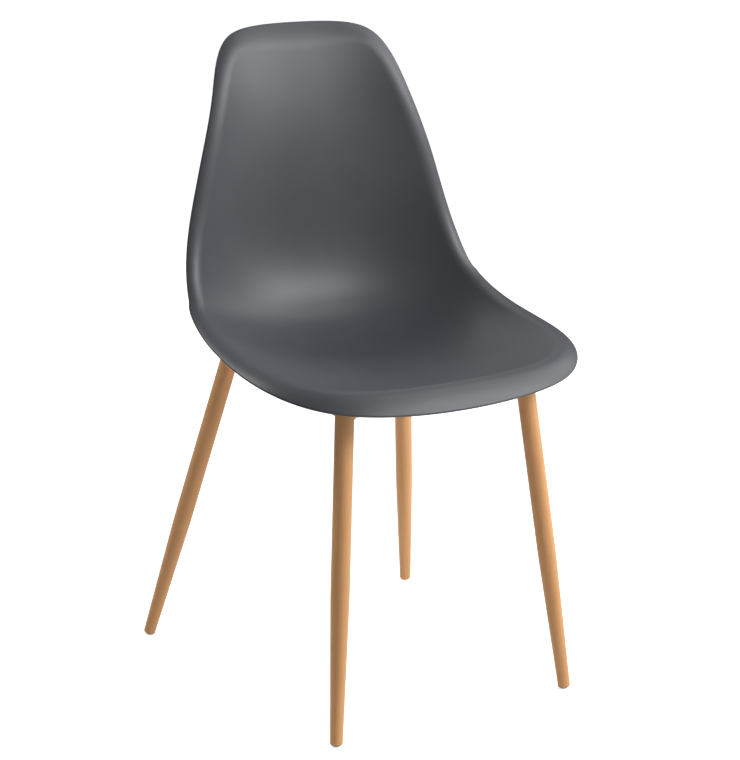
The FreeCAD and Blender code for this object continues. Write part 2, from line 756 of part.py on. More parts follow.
# Fixing plates, welded across the side rails with their inner ends under the bosses
plate_top = boss_face - size("pad_height")
plate_bottom = plate_top - size("plate_wall")
for spot, x, y in boss_spots:
    side = 1 if x > 0 else -1
    name = "fixing_plate_" + spot
    body = doc.addObject("PartDesign::Body", name)
    inner, outer = "-Sizes.plate_hole_inset", "Sizes.plate_length - Sizes.plate_hole_inset"
    edge_text = "Sizes.plate_width / 2"
    sketch = polygon_sketch(
        body,
        "XY_Plane",
        [(inner, "-" + edge_text), (outer, "-" + edge_text), (outer, edge_text), (inner, edge_text)],
    )
    pad = body.newObject("PartDesign::Pad", name + "_pad")
    pad.Profile = sketch
    pad.setExpression("Length", "Sizes.plate_wall")
    doc.recompute()
    upright = []
    for number, line in enumerate(pad.Shape.Edges, start=1):
        if abs(line.Vertexes[0].Z - line.Vertexes[1].Z) > size("plate_wall") / 2:
            upright.append("Edge%d" % number)
    rounding = body.newObject("PartDesign::Fillet", name + "_corners")
    rounding.Base = (pad, upright)
    rounding.setExpression("Radius", "Sizes.plate_corner")
    hole = body.newObject("Sketcher::SketchObject", name + "_hole_outline")
    hole.AttachmentSupport = [(origin_plane(body, "XY_Plane"), "")]
    hole.MapMode = "FlatFace"
    circle = hole.addGeometry(Part.Circle(Vector(0, 0, 0), Vector(0, 0, 1), size("screw_diameter") / 2))
    hole.addConstraint(Sketcher.Constraint("Coincident", circle, 3, -1, 1))
    tie = hole.addConstraint(Sketcher.Constraint("Radius", circle, size("screw_diameter") / 2))
    hole.setExpression("Constraints[%d]" % tie, "Sizes.screw_diameter / 2 + Sizes.screw_gap")
    pocket = body.newObject("PartDesign::Pocket", name + "_hole")
    pocket.Profile = hole
    pocket.setExpression("Length", "Sizes.plate_wall")
    pocket.Reversed = True
    body.Tip = pocket
    turn = 0 if side > 0 else 180
    body.Placement = FreeCAD.Placement(
        Vector(x, y, plate_bottom), FreeCAD.Rotation(Vector(0, 0, 1), turn)
    )
    finish(body, name)

# Screw with a hexagon socket: its origin is under the head
screw = turned(
    "screw_pattern",
    [
        ("0", "-Sizes.head_height"),
        ("Sizes.head_diameter / 2 - Sizes.head_height / 4", "-Sizes.head_height"),
        ("Sizes.head_diameter / 2", "-Sizes.head_height * 3 / 4"),
        ("Sizes.head_diameter / 2", "0"),
        ("Sizes.screw_diameter / 2", "0"),
        ("Sizes.screw_diameter / 2", "Sizes.screw_length - Sizes.screw_diameter / 6"),
        ("Sizes.screw_diameter / 3", "Sizes.screw_length"),
        ("0", "Sizes.screw_length"),
    ],
)
HALF_FLAT = "Sizes.socket_width / 2"
POINT = "Sizes.socket_width / sqrt(3)"
HALF_POINT = "Sizes.socket_width / sqrt(3) / 2"
socket_outline = polygon_sketch(
    screw,
    "XY_Plane",
    [
        (POINT, "0"),
        (HALF_POINT, HALF_FLAT),
        ("-" + HALF_POINT, HALF_FLAT),
        ("-" + POINT, "0"),
        ("-" + HALF_POINT, "-" + HALF_FLAT),
        (HALF_POINT, "-" + HALF_FLAT),
    ],
)
socket_outline.setExpression("AttachmentOffset.Base.z", "-Sizes.head_height")
doc.recompute()
solid_screw = screw.Shape.Volume
socket = screw.newObject("PartDesign::Pocket", "screw_socket")
socket.Profile = socket_outline
socket.setExpression("Length", "Sizes.socket_depth")
socket.Reversed = True
screw.Tip = socket
doc.recompute()
if screw.Shape.Volume >= solid_screw:
    raise RuntimeError("the screw has no socket")


def ring(name, outer, inner, height):
    """A flat ring on its own origin, as washer, pad or insert."""
    outside = primitive("Part::Cylinder", name + "_outside", at(0, 0, 0), Radius=outer, Height=height)
    inside = primitive("Part::Cylinder", name + "_inside", at(0, 0, 0), Radius=inner, Height=height)
    return combine("Part::Cut", name + "_pattern", outside, inside)


SCREW_HOLE = "Sizes.screw_diameter / 2 + Sizes.screw_gap"
washer = ring("washer", "Sizes.washer_diameter / 2", SCREW_HOLE, "Sizes.washer_wall")
pad = ring("pad", "Sizes.pad_diameter / 2", SCREW_HOLE, "Sizes.pad_height")
insert = ring(
    "insert",
    "Sizes.insert_diameter / 2",
    "Sizes.screw_diameter / 2 + Sizes.thread_gap",
    "Sizes.insert_length",
)
doc.recompute()

# One of each at every boss
for label, pattern, height in (
    ("shell_screws", screw, plate_bottom - size("washer_wall")),
    ("screw_washers", washer, plate_bottom - size("washer_wall")),
    ("rubber_pads", pad, plate_top),
    ("brass_inserts", insert, boss_face + size("insert_depth")),
):
    copies = []
    for _, x, y in boss_spots:
        copy = pattern.Shape.copy()
        copy.translate(Vector(x, y, height))
        copies.append(copy)
    group = doc.addObject("Part::Feature", label)
    group.Shape = Part.makeCompound(copies)
    finish(group, label)

# Every object sound before anything is written
doc.recompute()
for item in doc.Objects:
    if "Invalid" in item.State or "Error" in item.State:
        raise RuntimeError("%s failed: %s" % (item.Name, item.State))
for piece in finished:
    if piece.Shape.isNull() or not piece.Shape.isValid():
        raise RuntimeError("%s has no sound shape" % piece.Label)
os.makedirs("parts", exist_ok=True)
for piece in finished:
    piece.Shape.exportStep(os.path.join("parts", piece.Label + ".step"))

whole = Part.makeCompound([piece.Shape for piece in finished]).BoundBox
print("pieces %d" % len(finished))
print("X %.2f %.2f  Y %.2f %.2f  Z %.2f %.2f" % (
    whole.XMin, whole.XMax, whole.YMin, whole.YMax, whole.ZMin, whole.ZMax))
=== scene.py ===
import math

import bmesh
import bpy
import numpy as np
from mathutils import Matrix, Vector
from mathutils.bvhtree import BVHTree


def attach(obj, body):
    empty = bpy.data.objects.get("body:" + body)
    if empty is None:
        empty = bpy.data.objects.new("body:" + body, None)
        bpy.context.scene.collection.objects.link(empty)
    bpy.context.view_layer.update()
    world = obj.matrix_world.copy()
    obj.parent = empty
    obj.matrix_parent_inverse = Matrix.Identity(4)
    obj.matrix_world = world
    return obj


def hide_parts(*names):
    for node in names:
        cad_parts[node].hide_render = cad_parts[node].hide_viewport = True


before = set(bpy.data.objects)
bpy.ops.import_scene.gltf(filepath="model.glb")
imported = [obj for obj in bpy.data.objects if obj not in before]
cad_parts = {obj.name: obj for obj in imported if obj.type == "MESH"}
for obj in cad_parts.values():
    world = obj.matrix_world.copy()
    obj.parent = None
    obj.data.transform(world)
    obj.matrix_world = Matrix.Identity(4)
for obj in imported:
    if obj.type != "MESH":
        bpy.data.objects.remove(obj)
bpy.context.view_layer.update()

# Seat shell
# One injection moulding of satin anthracite polypropylene makes both the seat and the back.
# It is dished for the sitter, and its edge rolls away all round and ends in a half-round lip.
SHELL_WALL = 0.004
CENTRE_LINE = {
    "front edge": (-0.2480, 0.4450),
    "thighs": (-0.0456, 0.4375),
    "hips": (0.0241, 0.4383),
    "bend": (0.1007, 0.4642),
    "small of the back": (0.1421, 0.5640),
    "middle of the back": (0.1382, 0.6687),
    "top edge": (0.1629, 0.8561),
}


class SmoothCurve:
    """A smooth curve of one value along a length, level or free at its ends."""

    def __init__(self, places, values, level_ends=False):
        self.places = np.array(places, float)
        self.values = np.array(values, float)
        steps = np.diff(self.places)
        rises = np.diff(self.values) / steps
        count = len(self.places)
        weights = np.zeros((count, count))
        targets = np.zeros(count)
        for i in range(1, count - 1):
            below, above = 1 / steps[i - 1], 1 / steps[i]
            weights[i, i - 1:i + 2] = below, 2 * (below + above), above
            targets[i] = 3 * (rises[i - 1] * below + rises[i] * above)
        if level_ends:
            weights[0, 0] = weights[-1, -1] = 1
        else:
            weights[0, :2] = 2, 1
            weights[-1, -2:] = 1, 2
            targets[0], targets[-1] = 3 * rises[0], 3 * rises[-1]
        self.slopes = np.linalg.solve(weights, targets)

    def at(self, place, order=0):
        """Values at an array of places, or their slopes or bends for order 1 or 2."""
        i = np.clip(np.searchsorted(self.places, place) - 1, 0, len(self.places) - 2)
        step = self.places[i + 1] - self.places[i]
        f = (place - self.places[i]) / step
        start, end = self.values[i], self.values[i + 1]
        leave, arrive = self.slopes[i] * step, self.slopes[i + 1] * step
        if order == 0:
            blend = (2 * f**3 - 3 * f**2 + 1) * start + (3 * f**2 - 2 * f**3) * end
            return blend + (f**3 - 2 * f**2 + f) * leave + (f**3 - f**2) * arrive
        if order == 1:
            turn = (6 * f**2 - 6 * f) * (start - end) + (3 * f**2 - 4 * f + 1) * leave
            return (turn + (3 * f**2 - 2 * f) * arrive) / step
        bend = (12 * f - 6) * (start - end) + (6 * f - 4) * leave + (6 * f - 2) * arrive
        return bend / step**2


def lengths_along(points):
    steps = np.hypot(*np.diff(np.array(points, float), axis=0).T)
    return np.concatenate([[0.0], np.cumsum(steps)])


line_places = lengths_along(list(CENTRE_LINE.values()))
line_back = SmoothCurve(line_places, [back for back, up in CENTRE_LINE.values()])
line_up = SmoothCurve(line_places, [up for back, up in CENTRE_LINE.values()])
WALK_POINTS = 801
walk = np.linspace(0, line_places[-1], WALK_POINTS)
travel = lengths_along(np.stack([line_back.at(walk), line_up.at(walk)], -1))
SHELL_LENGTH = travel[-1]

# Half of the flat blank's outline: distance from the middle, and place along the centre line
BLANK = {
    "front": (0.0, 0.0),
    "lip": (0.0973, 0.003),
    "corner": (0.1771, 0.0254),
    "thigh": (0.2171, 0.0681),
    "seat": (0.2338, 0.190),
    "hip": (0.2206, 0.342),
    "waist": (0.2087, 0.450),
    "shoulder": (0.1709, SHELL_LENGTH - 0.165),
    "collar": (0.1457, SHELL_LENGTH - 0.090),
    "top corner": (0.1066, SHELL_LENGTH - 0.0155),
    "top side": (0.0575, SHELL_LENGTH - 0.002),
    "top": (0.0, SHELL_LENGTH),
}
rim_places = lengths_along(list(BLANK.values()))
rim_place = dict(zip(BLANK, rim_places))
rim_across = SmoothCurve(rim_places, [across for across, along in BLANK.values()])
rim_along = SmoothCurve(rim_places, [along for across, along in BLANK.values()], level_ends=True)

# Half-width behind the rounded ends, height of the sides over the middle, and the rolled edge
straight = [BLANK[name] for name in ("thigh", "seat", "hip", "waist", "shoulder", "collar")]
half_width = SmoothCurve(
    [0.0] + [along for across, along in straight] + [SHELL_LENGTH],
    [straight[0][0]] + [across for across, along in straight] + [straight[-1][0]],
    level_ends=True,
)
DISH = {
    0.0: 0.0093,
    0.150: 0.0352,
    0.339: 0.0757,
    SHELL_LENGTH - 0.225: 0.0461,
    SHELL_LENGTH: 0.0197,
}
DISH_POWER = 2.4
dish = SmoothCurve(list(DISH), list(DISH.values()))
ROLL = {
    "front": (0.0290, 0.0282),
    "thigh": (0.0315, 0.0163),
    "hip": (0.0225, 0.0142),
    "shoulder": (0.0226, 0.0097),
    "top corner": (0.0270, 0.0087),
    "top": (0.0392, 0.0094),
}
ROLL_POWER = 2.0
roll_places = [rim_place[name] for name in ROLL]
roll_width = SmoothCurve(roll_places, [width for width, drop in ROLL.values()], level_ends=True)
roll_drop = SmoothCurve(roll_places, [drop for width, drop in ROLL.values()], level_ends=True)
RIM_POINTS = 161
rim_walk = np.linspace(0, rim_places[-1], RIM_POINTS)
SEARCH_ROUNDS = 4
LONGEST_MOVE = 0.003
LEAST_STIFFNESS = 0.2


def nearest_rim(across, along):
    """Distance from points of the blank to its outline, and the nearest places on it."""
    across = np.abs(across)
    far = (rim_across.at(rim_walk) - across[:, None])**2
    far = far + (rim_along.at(rim_walk) - along[:, None])**2
    place = rim_walk[far.argmin(1)]
    for _ in range(SEARCH_ROUNDS):
        dx = rim_across.at(place) - across
        ds = rim_along.at(place) - along
        slope_x, slope_s = rim_across.at(place, 1), rim_along.at(place, 1)
        stiffness = slope_x**2 + slope_s**2
        stiffness = stiffness + dx * rim_across.at(place, 2) + ds * rim_along.at(place, 2)
        move = (dx * slope_x + ds * slope_s) / np.maximum(stiffness, LEAST_STIFFNESS)
        move = np.clip(move, -LONGEST_MOVE, LONGEST_MOVE)
        place = np.clip(place - move, 0, rim_places[-1])
    return np.hypot(rim_across.at(place) - across, rim_along.at(place) - along), place


def shell_points(across, along):
    """Points of the sitter's side of the shell over points of the flat blank."""
    distance, place = nearest_rim(across, along)
    rise = dish.at(along) * (np.abs(across) / half_width.at(along))**DISH_POWER
    depth = np.maximum(0, 1 - distance / roll_width.at(place))
    rise = rise - roll_drop.at(place) * depth**ROLL_POWER
    on_line = np.interp(along, travel, walk)
    beyond = along - np.clip(along, 0, SHELL_LENGTH)
    back, up = line_back.at(on_line, 1), line_up.at(on_line, 1)
    norm = np.hypot(back, up)
    back, up = back / norm, up / norm
    y = line_back.at(on_line) + back * beyond - up * rise
    z = line_up.at(on_line) + up * beyond + back * rise
    return np.stack([across, y, z], -1)


NUDGE = 0.00005


def shell_normals(across, along):
    """Directions out of the shell on the sitter's side."""
    here = shell_points(across, along)
    inward = np.where(across > 0, -NUDGE, NUDGE)
    ahead = np.where(along < SHELL_LENGTH / 2, NUDGE, -NUDGE)
    sideways = (shell_points(across + inward, along) - here) * np.sign(inward)[:, None]
    lengthways = (shell_points(across, along + ahead) - here) * np.sign(ahead)[:, None]
    out = np.cross(sideways, lengthways)
    return out / np.linalg.norm(out, axis=1, keepdims=True)


ACROSS_STEPS = 128
ALONG_STEPS = 256
EDGE_STEPS = 8


def crowded(steps):
    """Places from -1 to 1 that crowd towards both ends, where the edge rolls."""
    return np.sin(np.linspace(-math.pi / 2, math.pi / 2, steps + 1))


def blank_grid():
    """A grid over the blank whose four borders follow the front, the sides and the top."""
    p, q = crowded(ACROSS_STEPS), crowded(ALONG_STEPS)
    corner, collar, end = rim_place["corner"], rim_place["top corner"], rim_places[-1]

    def rim(place, side):
        return np.stack([side * rim_across.at(place), rim_along.at(place)], -1)

    right = rim(corner + (collar - corner) * (q + 1) / 2, 1)[None]
    front = rim(corner * np.abs(p), np.sign(p))[:, None]
    top = rim(end - (end - collar) * np.abs(p), np.sign(p))[:, None]
    a = ((p + 1) / 2)[:, None, None]
    b = ((q + 1) / 2)[None, :, None]
    mirror = np.array([-1, 1])
    grid = (1 - a) * right * mirror + a * right + (1 - b) * front + b * top
    grid = grid - (1 - a) * ((1 - b) * front[0, 0] + b * top[0, 0])
    return grid - a * ((1 - b) * front[-1, 0] + b * top[-1, 0])


def shell_skin():
    """Vertices, faces and vertex normals of the closed moulding."""
    blank = blank_grid().reshape(-1, 2)
    upper = shell_points(blank[:, 0], blank[:, 1])
    out = shell_normals(blank[:, 0], blank[:, 1])
    lower = upper - out * SHELL_WALL
    index = np.arange(len(upper)).reshape(ACROSS_STEPS + 1, ALONG_STEPS + 1)
    tiles = [index[:-1, :-1], index[1:, :-1], index[1:, 1:], index[:-1, 1:]]
    tiles = np.stack(tiles, -1).reshape(-1, 4)
    border = np.concatenate([index[:-1, 0], index[-1, :-1], index[:0:-1, -1], index[0, :0:-1]])
    along_rim = upper[np.roll(border, -1)] - upper[np.roll(border, 1)]
    outward = np.cross(along_rim, out[border])
    outward /= np.linalg.norm(outward, axis=1, keepdims=True)
    middle = (upper[border] + lower[border]) / 2
    points, normals = [upper, lower], [out, -out]
    faces = [tiles, tiles[:, ::-1] + len(upper)]
    ring = border
    for step in range(1, EDGE_STEPS + 1):
        turn = math.pi * step / EDGE_STEPS
        if step < EDGE_STEPS:
            facing = out[border] * math.cos(turn) + outward * math.sin(turn)
            below = np.arange(len(border)) + sum(len(group) for group in points)
            points.append(middle + facing * SHELL_WALL / 2)
            normals.append(facing)
        else:
            below = border + len(upper)
        faces.append(np.stack([ring, below, np.roll(below, -1), np.roll(ring, -1)], -1))
        ring = below
    return np.concatenate(points), np.concatenate(faces), np.concatenate(normals)


skin_points, skin_faces, skin_normals = shell_skin()


def mesh_piece(name, points, faces):
    """A smooth mesh object in the row's frame."""
    mesh = bpy.data.meshes.new(name)
    mesh.from_pydata([tuple(p) for p in points], [], [tuple(int(i) for i in f) for f in faces])
    mesh.shade_smooth()
    piece = bpy.data.objects.new(name, mesh)
    bpy.context.scene.collection.objects.link(piece)
    return piece


shell = mesh_piece("seat_shell_moulding", skin_points, skin_faces)
shell.data.normals_split_custom_set_from_vertices([tuple(n) for n in skin_normals])


def new_material(name):
    """An empty material with its shader node, node list and a link function."""
    material = bpy.data.materials.new(name)
    material.use_nodes = True
    nodes = material.node_tree.nodes
    shader = nodes["Principled BSDF"]
    return material, shader, nodes, material.node_tree.links.new


CLOUD_SCALE = 22
CLOUD_BAND = (0.35, 0.65)
POLISH_SPREAD = 0.05


def grainy_plastic(name, dark, light, roughness, grain_size, grain_height):
    """A moulded plastic with the fine even grain of an etched mould."""
    material, shader, nodes, link = new_material(name)
    place = nodes.new("ShaderNodeTexCoord")
    cloud = nodes.new("ShaderNodeTexNoise")
    cloud.inputs["Scale"].default_value = CLOUD_SCALE
    cloud.inputs["Detail"].default_value = 3
    tone = nodes.new("ShaderNodeValToRGB")
    tone.color_ramp.elements[0].position = CLOUD_BAND[0]
    tone.color_ramp.elements[0].color = (*dark, 1)
    tone.color_ramp.elements[1].position = CLOUD_BAND[1]
    tone.color_ramp.elements[1].color = (*light, 1)
    grain = nodes.new("ShaderNodeTexNoise")
    grain.inputs["Scale"].default_value = 1 / grain_size
    grain.inputs["Detail"].default_value = 2
    polish = nodes.new("ShaderNodeMapRange")
    polish.inputs["To Min"].default_value = roughness - POLISH_SPREAD
    polish.inputs["To Max"].default_value = roughness + POLISH_SPREAD
    bump = nodes.new("ShaderNodeBump")
    bump.inputs["Strength"].default_value = 1
    bump.inputs["Distance"].default_value = grain_height
    link(place.outputs["Object"], cloud.inputs["Vector"])
    link(place.outputs["Object"], grain.inputs["Vector"])
    link(cloud.outputs["Fac"], tone.inputs["Fac"])
    link(tone.outputs["Color"], shader.inputs["Base Color"])
    link(grain.outputs["Fac"], polish.inputs["Value"])
    link(polish.outputs["Result"], shader.inputs["Roughness"])
    link(grain.outputs["Fac"], bump.inputs["Height"])
    link(bump.outputs["Normal"], shader.inputs["Normal"])
    return material


ANTHRACITE = (0.076, 0.082, 0.095)
ANTHRACITE_PALE = (0.081, 0.087, 0.100)
shell_plastic = grainy_plastic(
    "anthracite_polypropylene", ANTHRACITE, ANTHRACITE_PALE,
    roughness=0.42, grain_size=0.0011, grain_height=0.00003,
)
shell.data.materials.append(shell_plastic)
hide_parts("seat_shell")
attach(shell, "root")

# Fixing bosses
# Four round bosses are moulded under the seat in the same plastic, each stiffened by two crossed
# ribs that run out into the wall. A blind hole in each boss holds a brass insert.
BOSS_RADIUS = 0.013
BOSS_FACE = 0.4295
BOSS_SPOTS = [(side * 0.106, y) for y in (-0.130, 0.065) for side in (-1, 1)]
PILOT_RADIUS = 0.0043
PILOT_DEPTH = 0.0105
EDGE_ROUND = 0.0006
ROOT_ROUND = 0.003
RIB_REACH = 0.030
RIB_WALL = 0.0025
RIB_LIFT = 0.004
RIB_STEPS = 8
BURIED = 0.0015
BELOW_SEAT = 0.05
underside = BVHTree.FromPolygons(
    [Vector(p) for p in skin_points],
    [tuple(int(i) for i in f) for f in skin_faces],
)


def wall_above(x, y):
    """Height of the seat's underside over a point."""
    hit = underside.ray_cast(Vector((x, y, BOSS_FACE - BELOW_SEAT)), Vector((0, 0, 1)))
    return hit[0].z


def ring_faces(rings, count):
    """Faces between rings of points, one after the other."""
    faces = []
    for ring in range(rings - 1):
        for i in range(count):
            j = (i + 1) % count
            near, far = ring * count, (ring + 1) * count
            faces.append((near + i, near + j, far + j, far + i))
    return faces


def boss_points(x, y, count=48):
    """Rings of a boss from the bottom of its hole, over its face and up into the wall."""
    rings = []
    for part in ("floor", "wall", "mouth", "face", "edge", "side", "root", "flare", "buried"):
        ring = []
        for i in range(count):
            turn = 2 * math.pi * i / count
            dx, dy = math.cos(turn), math.sin(turn)
            rooted = wall_above(x + dx * BOSS_RADIUS, y + dy * BOSS_RADIUS)
            wide = BOSS_RADIUS + ROOT_ROUND
            flared = wall_above(x + dx * wide, y + dy * wide)
            radius, z = {
                "floor": (PILOT_RADIUS * 0.02, BOSS_FACE + PILOT_DEPTH),
                "wall": (PILOT_RADIUS, BOSS_FACE + PILOT_DEPTH),
                "mouth": (PILOT_RADIUS, BOSS_FACE + EDGE_ROUND / 2),
                "face": (BOSS_RADIUS - EDGE_ROUND, BOSS_FACE),
                "edge": (BOSS_RADIUS, BOSS_FACE + EDGE_ROUND),
                "side": (BOSS_RADIUS, rooted - ROOT_ROUND),
                "root": (BOSS_RADIUS + ROOT_ROUND * 0.3, rooted - ROOT_ROUND * 0.3),
                "flare": (wide, flared),
                "buried": (wide, flared + BURIED),
            }[part]
            ring.append((x + dx * radius, y + dy * radius, z))
        rings.append(ring)
    return rings


def rib_outlines(x, y, dx, dy):
    """Outlines of the two faces of a thin upright rib through a boss's axis."""
    foot = BOSS_FACE + RIB_LIFT
    top, bottom = [], []
    for step in range(-RIB_STEPS, RIB_STEPS + 1):
        shift = RIB_REACH * step / RIB_STEPS
        z = wall_above(x + dx * shift, y + dy * shift) + BURIED
        share = max(0.0, (abs(shift) - BOSS_RADIUS) / (RIB_REACH - BOSS_RADIUS))
        top.append((shift, z))
        bottom.append((shift, foot + (z - BURIED / 2 - foot) * share))
    outlines = []
    for side in (-1, 1):
        half = side * RIB_WALL / 2
        outline = []
        for shift, z in top + bottom[::-1]:
            outline.append((x + dx * shift + dy * half, y + dy * shift + dx * half, z))
        outlines.append(outline)
    return outlines


def add_boss(mesh, x, y):
    rings = boss_points(x, y)
    count = len(rings[0])
    verts = [mesh.verts.new(p) for ring in rings for p in ring]
    for face in ring_faces(len(rings), count):
        mesh.faces.new([verts[i] for i in face])
    mesh.faces.new(verts[:count][::-1])
    mesh.faces.new(verts[-count:])


def add_rib(mesh, x, y, dx, dy):
    near, far = [[mesh.verts.new(p) for p in outline] for outline in rib_outlines(x, y, dx, dy)]
    count = len(near)
    for i in range(count // 2 - 1):
        for row, flip in ((near, False), (far, True)):
            quad = [row[i], row[i + 1], row[count - 2 - i], row[count - 1 - i]]
            mesh.faces.new(quad[::-1] if flip else quad)
    for i in range(count):
        j = (i + 1) % count
        mesh.faces.new([near[i], near[j], far[j], far[i]])


boss_mesh = bmesh.new()
for x, y in BOSS_SPOTS:
    add_boss(boss_mesh, x, y)
    add_rib(boss_mesh, x, y, 1, 0)
    add_rib(boss_mesh, x, y, 0, 1)
bmesh.ops.recalc_face_normals(boss_mesh, faces=boss_mesh.faces)
bosses = bpy.data.objects.new("seat_shell_bosses", bpy.data.meshes.new("seat_shell_bosses"))
boss_mesh.to_mesh(bosses.data)
boss_mesh.free()
bpy.context.scene.collection.objects.link(bosses)
bosses.data.shade_smooth()
bosses.data.set_sharp_from_angle(angle=math.radians(40))
bosses.data.materials.append(shell_plastic)
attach(bosses, "root")

# Brass inserts
# Turned brass bushes with an M6 thread, knurled outside and pressed into the bosses while hot.
# They sit just inside the bosses' mouths, where the pads hide them.
insert_brass, shader, nodes, link = new_material("knurled_brass")
shader.inputs["Metallic"].default_value = 1
place = nodes.new("ShaderNodeTexCoord")
knurl_and_groove_shade = nodes.new("ShaderNodeTexWave")
knurl_and_groove_shade.wave_type = "BANDS"
knurl_and_groove_shade.bands_direction = "DIAGONAL"
knurl_and_groove_shade.inputs["Scale"].default_value = 700
# The brass is painted darker in the knurl's grooves and paler on its ridges: painted shade in the
# grooves.
tone = nodes.new("ShaderNodeValToRGB")
tone.color_ramp.elements[0].color = (0.55, 0.38, 0.14, 1)
tone.color_ramp.elements[1].color = (0.78, 0.58, 0.27, 1)
bump = nodes.new("ShaderNodeBump")
bump.inputs["Distance"].default_value = 0.0002
link(place.outputs["Object"], knurl_and_groove_shade.inputs["Vector"])
link(knurl_and_groove_shade.outputs["Fac"], tone.inputs["Fac"])
link(tone.outputs["Color"], shader.inputs["Base Color"])
link(knurl_and_groove_shade.outputs["Fac"], bump.inputs["Height"])
link(bump.outputs["Normal"], shader.inputs["Normal"])
shader.inputs["Roughness"].default_value = 0.3


def dress(node, material):
    """Give a piece that keeps its built shape its own finish."""
    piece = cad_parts[node]
    piece.data.materials.clear()
    piece.data.materials.append(material)
    return piece


dress("brass_inserts", insert_brass)

# Legs
# Four straight steel tubes, their lower ends swaged to a taper and splayed outwards. A beech
# pattern is printed round them over a base coat and sealed with a satin lacquer.
LEG_RADIUS = 0.012
FOOT_RADIUS = 0.008
LEG_WALL = 0.0015
TAPER_LENGTH = 0.180
TAPER_BLEND = 0.012
RAIL_HEIGHT = 0.4145
LEG_OVERRUN = 0.012
BALL_RADIUS = 0.010
BALL_HEIGHT = BALL_RADIUS - 0.0004
FEET = {"front": (0.1742, -0.2247), "rear": (0.2141, 0.2427)}
TOPS = {"front": (0.13335, -0.1836), "rear": (0.13645, 0.1218)}
SIDES = {"left": -1, "right": 1}
GLIDE_INSET = 0.0002
EDGE_BREAK = 0.0003
TAPER_START = 0.010
PROFILE_STEPS = 12
BLEND_STEPS = 5


def leg_corner(end, side):
    """Where a leg's axis meets the rails' axes."""
    return Vector((SIDES[side] * TOPS[end][0], TOPS[end][1], RAIL_HEIGHT))


def leg_line(end, side):
    """Start of a leg at its glide's ball centre, and the direction up the leg."""
    foot = Vector((SIDES[side] * FEET[end][0], FEET[end][1], 0))
    up = (leg_corner(end, side) - foot).normalized()
    return foot + up * (BALL_HEIGHT / up.z), up


def turned(name, profile, start, up, steps=72):
    """A closed ring-shaped piece turned from a profile of radius and height about a line."""
    points = []
    for radius, height in profile:
        for i in range(steps):
            turn = 2 * math.pi * i / steps
            points.append((radius * math.cos(turn), radius * math.sin(turn), height))
    faces = ring_faces(len(profile), steps)
    last = (len(profile) - 1) * steps
    for i in range(steps):
        j = (i + 1) % steps
        faces.append((last + i, last + j, j, i))
    piece = mesh_piece(name, points, faces)
    piece.data.set_sharp_from_angle(angle=math.radians(35))
    piece.matrix_world = Matrix.Translation(start) @ up.to_track_quat("Z", "Y").to_matrix().to_4x4()
    return piece


WOOD_PALE = (0.900, 0.480, 0.205)
WOOD_DARK = (0.790, 0.390, 0.152)
WOOD_FLECK = (0.520, 0.230, 0.082)
# Width and length of the streaks, detail of their noise, and the band of it that they fill
STREAKS = {
    "figure": (0.010, 0.160, 2, 0.35, 0.65),
    "fibre": (0.0014, 0.060, 3, 0.30, 0.70),
    "fleck": (0.0011, 0.007, 1, 0.68, 0.76),
}
TUBE_SHIFT = 7.3
FIBRE_SHARE = 0.45
FLECK_STRENGTH = 0.45
LACQUER_ROUGHNESS = (0.46, 0.56)
FIBRE_STRENGTH = 0.4
FIBRE_HEIGHT = 0.00004


